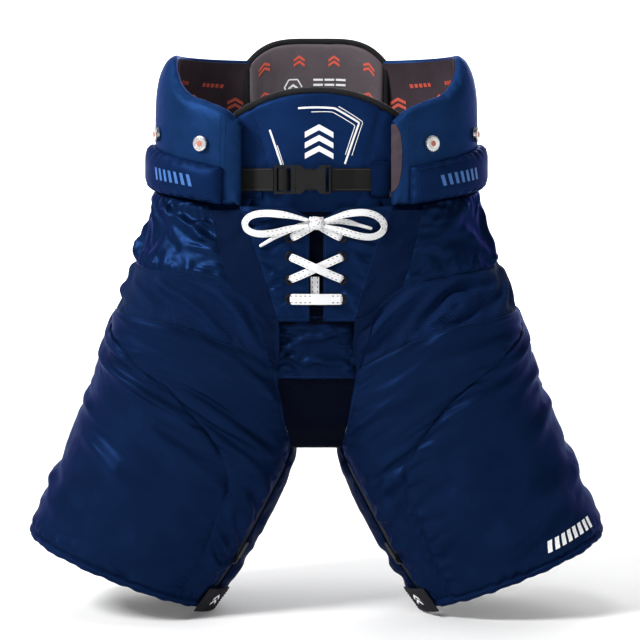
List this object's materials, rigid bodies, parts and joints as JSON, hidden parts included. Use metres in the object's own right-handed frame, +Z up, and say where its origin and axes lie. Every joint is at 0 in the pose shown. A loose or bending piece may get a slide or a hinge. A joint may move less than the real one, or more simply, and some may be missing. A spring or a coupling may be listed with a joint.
{
  "type": "ice hockey pants",
  "caption": "Padded ice hockey pants with hip, spine and tailbone pads, thigh guards, laced fly, buckled belt, brace buttons and zipped leg openings.",
  "frame": {"origin": "middle of the waist opening at belt height", "axes": "+Z up towards the wearer's chest, the wearer faces -Y, the wearer's left is +X"},
  "size_m": [0.6608, 0.2519, 0.6652],
  "materials": {
    "fly_satin": "smooth navy nylon satin",
    "yoke_knit": "navy mesh knit",
    "satin": "crinkled navy nylon satin",
    "stretch_knit": "navy stretch mesh knit",
    "pad_satin": "navy nylon satin over foam, printed lining",
    "plate": "moulded polyethylene",
    "cover_satin": "navy nylon twill",
    "button_metal": "nickel-plated tack button",
    "inner_leg": "plain navy weave",
    "hem_binding": "rolled navy binding",
    "foam": "lined foam",
    "zip_tape": "black zip tape",
    "zip_metal": "dark metal",
    "tab": "black hook-and-loop tab",
    "webbing": "black woven webbing",
    "lace": "waxed white flat lace with black ticks",
    "gusset_knit": "dark knit",
    "tongue_satin": "navy satin over foam",
    "black_binding": "black piped binding",
    "lining_print": "dark grey lining with a small coral print",
    "buckle": "moulded acetal",
    "eyelet_metal": "black enamelled eyelet",
    "aglet": "clear lace end"
  },
  "bodies": {
    "waist": {"fly_panel_left": "fly_satin", "fly_panel_right": "fly_satin", "yoke_knit_left": "yoke_knit", "yoke_knit_right": "yoke_knit", "hip_panel_left": "satin", "hip_panel_right": "satin", "seat_panel": "satin", "fly_gusset": "gusset_knit", "crotch_panel": "satin", "crotch_gusset": "gusset_knit", "tailbone_plate": "plate", "tailbone_pad": "foam", "stretch_band_left": "stretch_knit", "stretch_band_right": "stretch_knit", "belt_strap_left": "webbing", "belt_strap_right": "webbing", "belt_loops": "cover_satin", "buckle_female": "buckle", "eyelets": "eyelet_metal", "lace_lacing": "lace", "lace_knot": "lace", "lace_bow_left": "lace", "lace_bow_right": "lace", "lace_tail_left": "lace", "lace_tail_right": "lace", "lace_aglets": "aglet"},
    "spine": {"spine_pad": "lining_print", "spine_plate": "plate", "spine_binding": "black_binding"},
    "tongue": {"tongue_pad": "tongue_satin", "tongue_binding": "black_binding"},
    "buckle_release": {"buckle_male": "buckle"},
    "prong_upper": {"buckle_prong_upper": "buckle"},
    "prong_lower": {"buckle_prong_lower": "buckle"},
    "leg_left": {"leg_front_panel_left": "satin", "leg_outer_panel_left": "satin", "leg_inner_panel_left": "inner_leg", "hem_binding_left": "hem_binding", "thigh_plate_left": "plate", "thigh_foam_left": "foam", "zip_tape_left": "zip_tape"},
    "hip_wing_left": {"hip_pad_left": "pad_satin", "hip_plate_left": "plate", "belt_cover_left": "cover_satin", "suspender_buttons_left": "button_metal"},
    "zip_slider_left": {"zip_slider_left": "zip_metal"},
    "leg_tab_left": {"leg_tab_left": "tab"},
    "leg_right": {"leg_front_panel_right": "satin", "leg_outer_panel_right": "satin", "leg_inner_panel_right": "inner_leg", "hem_binding_right": "hem_binding", "thigh_plate_right": "plate", "thigh_foam_right": "foam", "zip_tape_right": "zip_tape"},
    "hip_wing_right": {"hip_pad_right": "pad_satin", "hip_plate_right": "plate", "belt_cover_right": "cover_satin", "suspender_buttons_right": "button_metal"},
    "zip_slider_right": {"zip_slider_right": "zip_metal"},
    "leg_tab_right": {"leg_tab_right": "tab"}
  },
  "joints": [
    {"name": "leg_swing_left", "type": "hinge", "parent": "waist", "child": "leg_left", "pos_m": [0, 0, -0.155], "axis": [-1, 0, 0], "range_deg": [-12, 18], "deforming": ["stretch_band_left"]},
    {"name": "hip_wing_left", "type": "hinge", "parent": "waist", "child": "hip_wing_left", "pos_m": [-0.181, 0, -0.006], "axis": [0, -1, 0], "range_deg": [0, 14], "stiffness_Nm_per_rad": 3},
    {"name": "zip_run_left", "type": "slide", "parent": "leg_left", "child": "zip_slider_left", "axis": [0.5023, -0.0442, 0.8636], "range_m": [0, 0.07]},
    {"name": "tab_open_left", "type": "hinge", "parent": "leg_left", "child": "leg_tab_left", "pos_m": [-0.12954, -0.0695, -0.47012], "axis": [-0.5711, 0.0304, -0.8203], "range_deg": [0, 90]},
    {"name": "leg_swing_right", "type": "hinge", "parent": "waist", "child": "leg_right", "pos_m": [0, 0, -0.155], "axis": [-1, 0, 0], "range_deg": [-12, 18], "deforming": ["stretch_band_right"]},
    {"name": "hip_wing_right", "type": "hinge", "parent": "waist", "child": "hip_wing_right", "pos_m": [0.181, 0, -0.006], "axis": [0, 1, 0], "range_deg": [0, 14], "stiffness_Nm_per_rad": 3},
    {"name": "zip_run_right", "type": "slide", "parent": "leg_right", "child": "zip_slider_right", "axis": [-0.5023, -0.0442, 0.8636], "range_m": [0, 0.07]},
    {"name": "tab_open_right", "type": "hinge", "parent": "leg_right", "child": "leg_tab_right", "pos_m": [0.12954, -0.0695, -0.47012], "axis": [-0.5711, -0.0304, 0.8203], "range_deg": [0, 90]},
    {"name": "spine_pad_tilt", "type": "hinge", "parent": "waist", "child": "spine", "pos_m": [0, 0.107, -0.028], "axis": [-1, 0, 0], "range_deg": [-4, 18], "stiffness_Nm_per_rad": 3},
    {"name": "tongue_tilt", "type": "hinge", "parent": "waist", "child": "tongue", "pos_m": [0, -0.094, -0.05], "axis": [-1, 0, 0], "range_deg": [0, 18], "stiffness_Nm_per_rad": 1.5},
    {"name": "buckle_pull", "type": "slide", "parent": "waist", "child": "buckle_release", "axis": [-1, 0, 0], "range_m": [0, 0.035], "deforming": ["belt_strap_left"]},
    {"name": "prong_upper_squeeze", "type": "hinge", "parent": "buckle_release", "child": "prong_upper", "pos_m": [-0.0204, -0.1106, 0.008], "axis": [0, 1, 0], "range_deg": [0, 7], "stiffness_Nm_per_rad": 0.05},
    {"name": "prong_lower_squeeze", "type": "hinge", "parent": "buckle_release", "child": "prong_lower", "pos_m": [-0.0204, -0.1106, -0.008], "axis": [0, -1, 0], "range_deg": [0, 7], "stiffness_Nm_per_rad": 0.05}
  ],
  "couplings": [
    {"joint": "prong_lower_squeeze", "follows": "prong_upper_squeeze", "ratio": 1}
  ]
}
